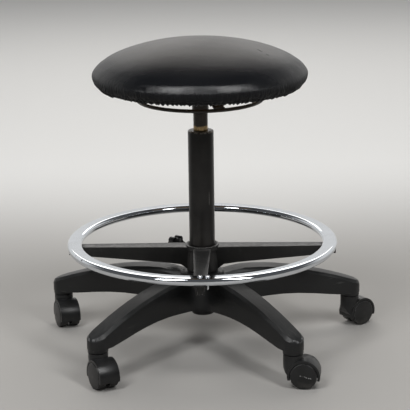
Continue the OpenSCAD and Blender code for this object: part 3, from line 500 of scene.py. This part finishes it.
# The solids of each finish
FINISHED = {
    "base": ["star_base"],
    "caster": [],
    "column": ["column_tube"],
    "bracket": ["seat_bracket", "release_strips"],
    "spider": ["ring_spider"],
    "bronze": ["socket_sleeve", "release_hoop", "rocker_disc"],
    "cylinder": ["gas_cylinder"],
    "chrome": ["foot_ring", "ring_screws", "piston_rod"],
    "steel": ["column_end_plate", "bearing_lower_race", "bearing_upper_race", "bearing_balls", "rod_clip",
              "cylinder_end_guide", "caster_grip_rings", "release_pin", "bracket_bolts", "tee_nuts",
              "cover_staples", "clamp_screw"],
    "brass": ["bearing_cage", "pin_guide", "clamp_insert", "piston"],
    "bush": ["guide_bush", "clamp_pad"],
    "rubber": ["bump_stop"],
    "knob": ["clamp_knob"],
    "vinyl": ["seat_cover"],
    "plywood": ["seat_board"],
    "foam": ["seat_foam"],
}
CASTERS = ["back", "left", "front_left", "front_right", "right"]
for place in CASTERS:
    FINISHED["caster"] += [place + "_hood", place + "_wheel_a", place + "_wheel_b"]
    FINISHED["steel"] += [place + "_stem", place + "_axle"]


def set_finish(me, finish):
    me.materials.clear()
    me.materials.append(MATERIALS[finish])


for finish, names in FINISHED.items():
    for name in names:
        set_finish(NODES[name].data, finish)


# Floor and world
def make_stage():
    me = bpy.data.meshes.new("studio_floor")
    bm = bmesh.new()
    bmesh.ops.create_circle(bm, cap_ends=True, radius=FLOOR_R, segments=96)
    bm.to_mesh(me)
    bm.free()
    floor = bpy.data.objects.new("studio_floor", me)
    scene.collection.objects.link(floor)
    me.materials.append(MATERIALS["floor"])


def make_world():
    """A pale wall behind the stool, a darker room on the camera's side and a dark ceiling."""
    world = bpy.data.worlds.new("studio")
    world.use_nodes = True
    scene.world = world
    g = Graph(world.node_tree)
    ground = world.node_tree.nodes["Background"]
    way = g.add("ShaderNodeTexCoord").outputs["Generated"]
    x, y, z = g.split(way)
    low = g.mix(g.fade(y, 0.0, 0.6), rgb(0.10, 0.10, 0.10), rgb(0.72, 0.715, 0.705))
    wall = g.mix(g.fade(z, 0.40, 0.66), low, rgb(0.08, 0.082, 0.086))
    g.put(ground.inputs["Color"], wall)
    ground.inputs["Strength"].default_value = 1.0


make_stage()
make_world()


# Mesh helpers
def new_object(name, me, finish, body, *nodes, slot=None):
    obj = bpy.data.objects.new(name, me)
    scene.collection.objects.link(obj)
    set_finish(me, finish)
    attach(obj, body)
    if nodes:
        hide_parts(*nodes)
    return obj


def smooth_all(me):
    for face in me.polygons:
        face.use_smooth = True


def smooth_by_angle(me, degrees):
    """Smooth faces, with edges sharper than the angle kept sharp."""
    bm = bmesh.new()
    bm.from_mesh(me)
    limit = math.radians(degrees)
    for face in bm.faces:
        face.smooth = True
    for edge in bm.edges:
        edge.smooth = len(edge.link_faces) == 2 and edge.calc_face_angle(0) < limit
    bm.to_mesh(me)
    bm.free()


def mark_rub(me):
    """Face value 1 on the rounding of the convex edges, whose faces carry the second material."""
    bm = bmesh.new()
    bm.from_mesh(me)
    bm.faces.ensure_lookup_table()
    rub = np.zeros(len(bm.faces), dtype=np.float32)
    for face in bm.faces:
        if face.material_index == 1:
            turn = sum(edge.calc_face_angle_signed(0) * edge.calc_length() for edge in face.edges)
            rub[face.index] = 1.0 if turn > 0 else 0.0
    bm.free()
    me.polygons.foreach_set("material_index", np.zeros(len(me.polygons), dtype=np.int32))
    me.materials.pop()
    me.attributes.new("rub", "FLOAT", "FACE").data.foreach_set("value", rub)


# Edges that turn by less than this, in degrees, belong to a curved surface and aren't rounded
EDGE_TURN = 28


def bevelled(node, name, finish, body, slot, width, segments=3, sharp=50):
    """A copy of a CAD node with its edges rounded as moulding and polishing leave them."""
    me = NODES[node].data.copy()
    bm = bmesh.new()
    bm.from_mesh(me)
    bmesh.ops.remove_doubles(bm, verts=bm.verts, dist=2e-6)
    bmesh.ops.dissolve_limit(bm, angle_limit=math.radians(0.6), verts=bm.verts, edges=bm.edges)
    bm.to_mesh(me)
    bm.free()
    me.name = name
    obj = new_object(name, me, finish, body, node, slot=slot)
    smooth_all(me)
    mod = obj.modifiers.new("bevel", "BEVEL")
    mod.width = width
    mod.segments = segments
    mod.limit_method = "ANGLE"
    mod.angle_limit = math.radians(EDGE_TURN)
    mod.use_clamp_overlap = True
    mod.miter_outer = "MITER_ARC"
    me.materials.append(MATERIALS[finish])
    mod.material = 1
    bpy.context.view_layer.update()
    made = bpy.data.meshes.new_from_object(obj.evaluated_get(bpy.context.evaluated_depsgraph_get()))
    obj.modifiers.clear()
    obj.data = made
    mark_rub(made)
    smooth_by_angle(made, sharp)


def revolve(name, line, segments, closed=True):
    """Mesh of a half section (radius, height) turned about the Z axis."""
    n = len(line)
    t = np.linspace(0, 2 * math.pi, segments, endpoint=False)
    verts = [(r * math.cos(a), r * math.sin(a), z) for a in t for r, z in line]
    faces = []
    for i in range(segments):
        k = (i + 1) % segments
        for j in range(n if closed else n - 1):
            m = (j + 1) % n
            faces.append((i * n + j, k * n + j, k * n + m, i * n + m))
    me = bpy.data.meshes.new(name)
    me.from_pydata(verts, [], faces)
    me.validate()
    bm = bmesh.new()
    bm.from_mesh(me)
    bmesh.ops.remove_doubles(bm, verts=bm.verts, dist=1e-7)
    bmesh.ops.recalc_face_normals(bm, faces=bm.faces)
    bm.to_mesh(me)
    bm.free()
    return me


# Seat cushion: the drawn-in side's whole height and the part of it above the corner, and its depth
SIDE_H, SIDE_OVER_CORNER = 0.0215, 0.0160
SIDE_IN = 0.009
CORNER_R = 0.0075
COVER_T = 0.0012
# How far inside the widest line the cover's cut edge and the turned hem's outer end lie
CUT_IN, HEM_IN = 0.041, 0.0175
# The crease over the front roll, and where the roll runs out below
CREASE_Z, ROLL_END_Z = 0.5568, 0.539
# Points round the fine cover and round the one that is simulated
TURNS, COARSE_TURNS = 1080, 120
STAPLES = 30
# The simulated sheet: grid, last frame, reach of a staple, and the most that it may move
GRID = 0.006
LAST_FRAME = 20
STAPLE_REACH = 0.005
PUFF_LIMIT = 0.006


def waves(theta, low, high, seed):
    """Smooth periodic noise round the seat, from waves of low to high count, scaled to about one."""
    rng = np.random.default_rng(seed)
    total = np.zeros_like(theta)
    for k in range(low, high + 1):
        total += rng.normal() * np.cos(k * theta + rng.uniform(0, 2 * math.pi))
    return total / (np.abs(total).max() + 1e-9)


def ramp(value, zero, one):
    """0 to 1 between two values, and level outside them."""
    return min(1.0, max(0.0, (value - zero) / (one - zero)))


def cushion_side(seat_r, wide_z, top_z, crown_rows):
    """Half section of the stuffed seat from the board's edge up, as radius, height and slackness."""
    line = []
    for t in np.linspace(0.14, 1, 15):
        a = math.radians(90 - 90 * t)
        r = seat_r - SIDE_IN + SIDE_IN * math.cos(a)
        line.append((r, wide_z - SIDE_OVER_CORNER * math.sin(a), (1 - t) ** 1.1))
    for t in np.linspace(0.012, 1, crown_rows):
        a = math.radians(90 * t)
        z = wide_z + (top_z - wide_z) * math.sin(a) ** 1.15
        line.append((seat_r * max(math.cos(a), 0.0) ** 1.07, z, 0.0))
    return line


def inflate(line, hem_z, pins):
    """Cloth simulation of the stuffed cover, held where the staples pull it under the board.
    Gives the start points and how far each of them moves."""
    closed = [(0.0, hem_z)] + [(line[0][0] - 0.004, hem_z)] + [(r, z) for r, z, slack in line]
    me = revolve("cover_start", closed, COARSE_TURNS, closed=False)
    obj = bpy.data.objects.new("cover_start", me)
    scene.collection.objects.link(obj)
    mesher = obj.modifiers.new("remesh", "REMESH")
    mesher.mode = "VOXEL"
    mesher.voxel_size = GRID
    bpy.context.view_layer.update()
    obj.data = bpy.data.meshes.new_from_object(obj.evaluated_get(bpy.context.evaluated_depsgraph_get()))
    obj.modifiers.clear()
    start = np.array([v.co for v in obj.data.vertices])
    turn = np.arctan2(start[:, 1], start[:, 0])
    radius = np.hypot(start[:, 0], start[:, 1])
    apart = (turn[:, None] - pins[None, :] + math.pi) % (2 * math.pi) - math.pi
    near = np.min(np.abs(apart), axis=1)
    stapled = (near * radius < STAPLE_REACH) | (radius < line[0][0] - 0.03)
    held = (start[:, 2] < hem_z + 0.004) & stapled
    group = obj.vertex_groups.new(name="held")
    group.add([int(i) for i in np.nonzero(held)[0]], 1.0, "REPLACE")
    cloth = obj.modifiers.new("cloth", "CLOTH")
    rules = cloth.settings
    rules.quality = 6
    rules.mass = 0.3
    rules.tension_stiffness = 12
    rules.compression_stiffness = 6
    rules.shear_stiffness = 4
    rules.bending_stiffness = 0.05
    rules.use_pressure = True
    rules.uniform_pressure_force = 4
    rules.effector_weights.gravity = 0
    rules.shrink_min = -0.03
    rules.vertex_group_mass = "held"
    cloth.collision_settings.use_collision = False
    cloth.point_cache.frame_start, cloth.point_cache.frame_end = 1, LAST_FRAME
    for frame_number in range(1, LAST_FRAME + 1):
        scene.frame_set(frame_number)
        bpy.context.evaluated_depsgraph_get().update()
    puffed = obj.evaluated_get(bpy.context.evaluated_depsgraph_get())
    end = np.array([v.co for v in puffed.data.vertices])
    scene.frame_set(1)
    bpy.data.objects.remove(obj)
    move = end - start
    length = np.linalg.norm(move, axis=1, keepdims=True)
    return start, move * np.minimum(1, PUFF_LIMIT / np.maximum(length, 1e-9))


def spread(start, move, rows):
    """The simulated movement read off at the points of the fine cover, one row at a time."""
    tree = KDTree(len(start))
    for i, point in enumerate(start):
        tree.insert(point, i)
    tree.balance()
    theta = np.linspace(0, 2 * math.pi, TURNS, endpoint=False)
    coarse = np.arange(0, TURNS, 4)
    round_again = np.append(coarse, TURNS)
    out, rise = [], []
    for r, z, slack in rows:
        shift = np.zeros((len(coarse), 2))
        for n, k in enumerate(coarse):
            c, q = math.cos(theta[k]), math.sin(theta[k])
            found = tree.find_n((r * c, r * q, z), 4)
            weight = np.array([1 / (gap + 0.001) for point, i, gap in found])
            moves = np.array([move[i] for point, i, gap in found])
            mean = (weight[:, None] * moves).sum(0) / weight.sum()
            shift[n] = (mean[0] * c + mean[1] * q, mean[2])
        shift -= shift.mean(axis=0)
        fine = [np.interp(np.arange(TURNS), round_again, np.append(shift[:, i], shift[0, i]))
                for i in (0, 1)]
        out.append(fine[0])
        rise.append(fine[1])
    return np.array(out), np.array(rise)


def make_cover():
    """The vinyl cover: crown, drawn-in side with pulled wrinkles, and a gathered hem under the board."""
    low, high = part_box("seat_cover")
    hem_z, top_z = low.z, high.z
    seat_r = (high.x - low.x) / 2
    wide_z = hem_z + SIDE_H
    theta = np.linspace(0, 2 * math.pi, TURNS, endpoint=False)
    folds = waves(theta, 80, 170, 3)
    fine = waves(theta, 170, 330, 5)
    broad = waves(theta, 9, 34, 8)
    bunch = np.sign(folds) * np.abs(folds) ** 0.8
    line = cushion_side(seat_r, wide_z, top_z, 62)
    rows = []
    # cut edge and turned hem under the board, from the inside outwards
    cut_r = seat_r - CUT_IN + 0.0022 * waves(theta, 12, 60, 11)
    for t in np.linspace(0, 1, 9):
        r = cut_r + (seat_r - HEM_IN - cut_r) * t
        drop = 0.0006 + (0.0006 + 0.0018 * t) * (bunch + 0.4 * fine)
        rows.append((r, hem_z - 0.0003 - np.maximum(drop, 0) * (0.5 + t)))
    # lower corner, bunched where the gathers turn under
    for a in np.linspace(80, 12, 6):
        s, c = math.sin(math.radians(a)), math.cos(math.radians(a))
        r = seat_r - SIDE_IN - CORNER_R + CORNER_R * c + 0.0011 * bunch
        hang = 0.0024 * np.maximum(bunch + 0.3 * fine, -0.2) + 0.0004 * broad
        rows.append((r, hem_z + 0.0055 - 0.0060 * s - hang * s))
    # side and crown, with what the simulation adds to them
    rng = np.random.default_rng(12)
    pins = (np.arange(STAPLES) + rng.uniform(-0.3, 0.3, STAPLES)) * 2 * math.pi / STAPLES
    start, move = inflate(line, hem_z, pins)
    out, rise = spread(start, move, line)
    print("cloth: largest move %.2f mm, ripple %.2f mm"
          % (1000 * np.abs(move).max(), 1000 * np.abs(out).max()))
    # the front bulges into a roll under a crease that the stuffing's edge makes
    front = np.clip((np.cos(theta + math.pi / 2) - 0.82) / 0.09, 0, 1)
    for k, (r, z, slack) in enumerate(line):
        # the tight crown keeps little of the simulated ripple, and its middle none
        loose = (0.14 + 0.86 * ramp(z, wide_z + 0.010, wide_z)) * ramp(r, 0.0, 0.08)
        pulled = r + slack * (0.0011 * bunch + 0.0005 * fine) + 0.0002 * broad * slack
        roll = 0.0010 * ramp(z, CREASE_Z, CREASE_Z - 0.0026) * ramp(z, ROLL_END_Z, ROLL_END_Z + 0.013)
        rows.append((pulled + out[k] * loose + roll * front, z + rise[k] * 0.5 * loose))

    # rings of points, closed by one point at the top
    verts = []
    for r, z in rows[:-1]:
        verts += list(zip(r * np.cos(theta), r * np.sin(theta), z))
    apex = len(verts)
    verts.append((0.0, 0.0, top_z))
    faces = []
    for i in range(len(rows) - 2):
        for j in range(TURNS):
            k = (j + 1) % TURNS
            faces.append((i * TURNS + j, i * TURNS + k, (i + 1) * TURNS + k, (i + 1) * TURNS + j))
    last = (len(rows) - 2) * TURNS
    for j in range(TURNS):
        faces.append((last + j, last + (j + 1) % TURNS, apex))
    me = bpy.data.meshes.new("seat_cover_vinyl")
    me.from_pydata(verts, [], faces)
    co = np.array([v.co for v in me.vertices])
    # shallow hollow and unevenness where people have sat
    rad = np.hypot(co[:, 0], co[:, 1])
    sag = 0.0007 * np.sin(co[:, 0] * 31 + 0.6) * np.sin(co[:, 1] * 27 + 1.1)
    co[:, 2] += np.where(co[:, 2] > wide_z, sag * np.clip((seat_r - rad) / 0.05, 0, 1), 0)
    co[:, 2] = np.minimum(co[:, 2], top_z)
    me.vertices.foreach_set("co", co.ravel())
    smooth_all(me)
    obj = new_object("seat_cover_vinyl", me, "vinyl", "seat", "seat_cover", "seat_foam",
                     slot="cover_leather")
    thick = obj.modifiers.new("thickness", "SOLIDIFY")
    thick.thickness = COVER_T
    thick.offset = -1


make_cover()


# Foot ring and its spider
TUBE_W = 0.028
TUBE_ROUND = 0.006


def make_ring():
    """The chromed tube of the foot ring: a flat bar's section with well rounded corners."""
    low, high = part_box("foot_ring")
    outer, inner = high.x - TUBE_ROUND, high.x - TUBE_W + TUBE_ROUND
    upper, lower = high.z - TUBE_ROUND, low.z + TUBE_ROUND
    line = []
    for quarter, (r, z) in enumerate(((outer, upper), (inner, upper), (inner, lower), (outer, lower))):
        for a in np.radians(np.linspace(0, 90, 9) + 90 * quarter):
            line.append((r + TUBE_ROUND * math.cos(a), z + TUBE_ROUND * math.sin(a)))
    me = revolve("foot_ring_tube", line, 288)
    smooth_all(me)
    new_object("foot_ring_tube", me, "chrome", "foot_ring", "foot_ring", slot="ring_chrome")


make_ring()
bevelled("ring_spider", "spider_casting", "spider", "foot_ring", "spider_paint", 0.0022)
bevelled("clamp_knob", "knob_moulding", "knob", "clamp_knob", "knob_plastic", 0.0016)
bevelled("column_tube", "column_tube_rounded", "column", "base", "column_paint", 0.0009)

# Base and casters
bevelled("star_base", "base_moulding", "base", "base", "base_nylon", 0.0022, sharp=40)
for place in CASTERS:
    bevelled(place + "_hood", place + "_hood_shell", "caster", place + "_caster", "caster_nylon", 0.0011)
    for side in "ab":
        bevelled(place + "_wheel_" + side, place + "_wheel_" + side + "_moulding", "caster",
                 place + "_wheel_" + side, "caster_nylon", 0.0006, segments=2)
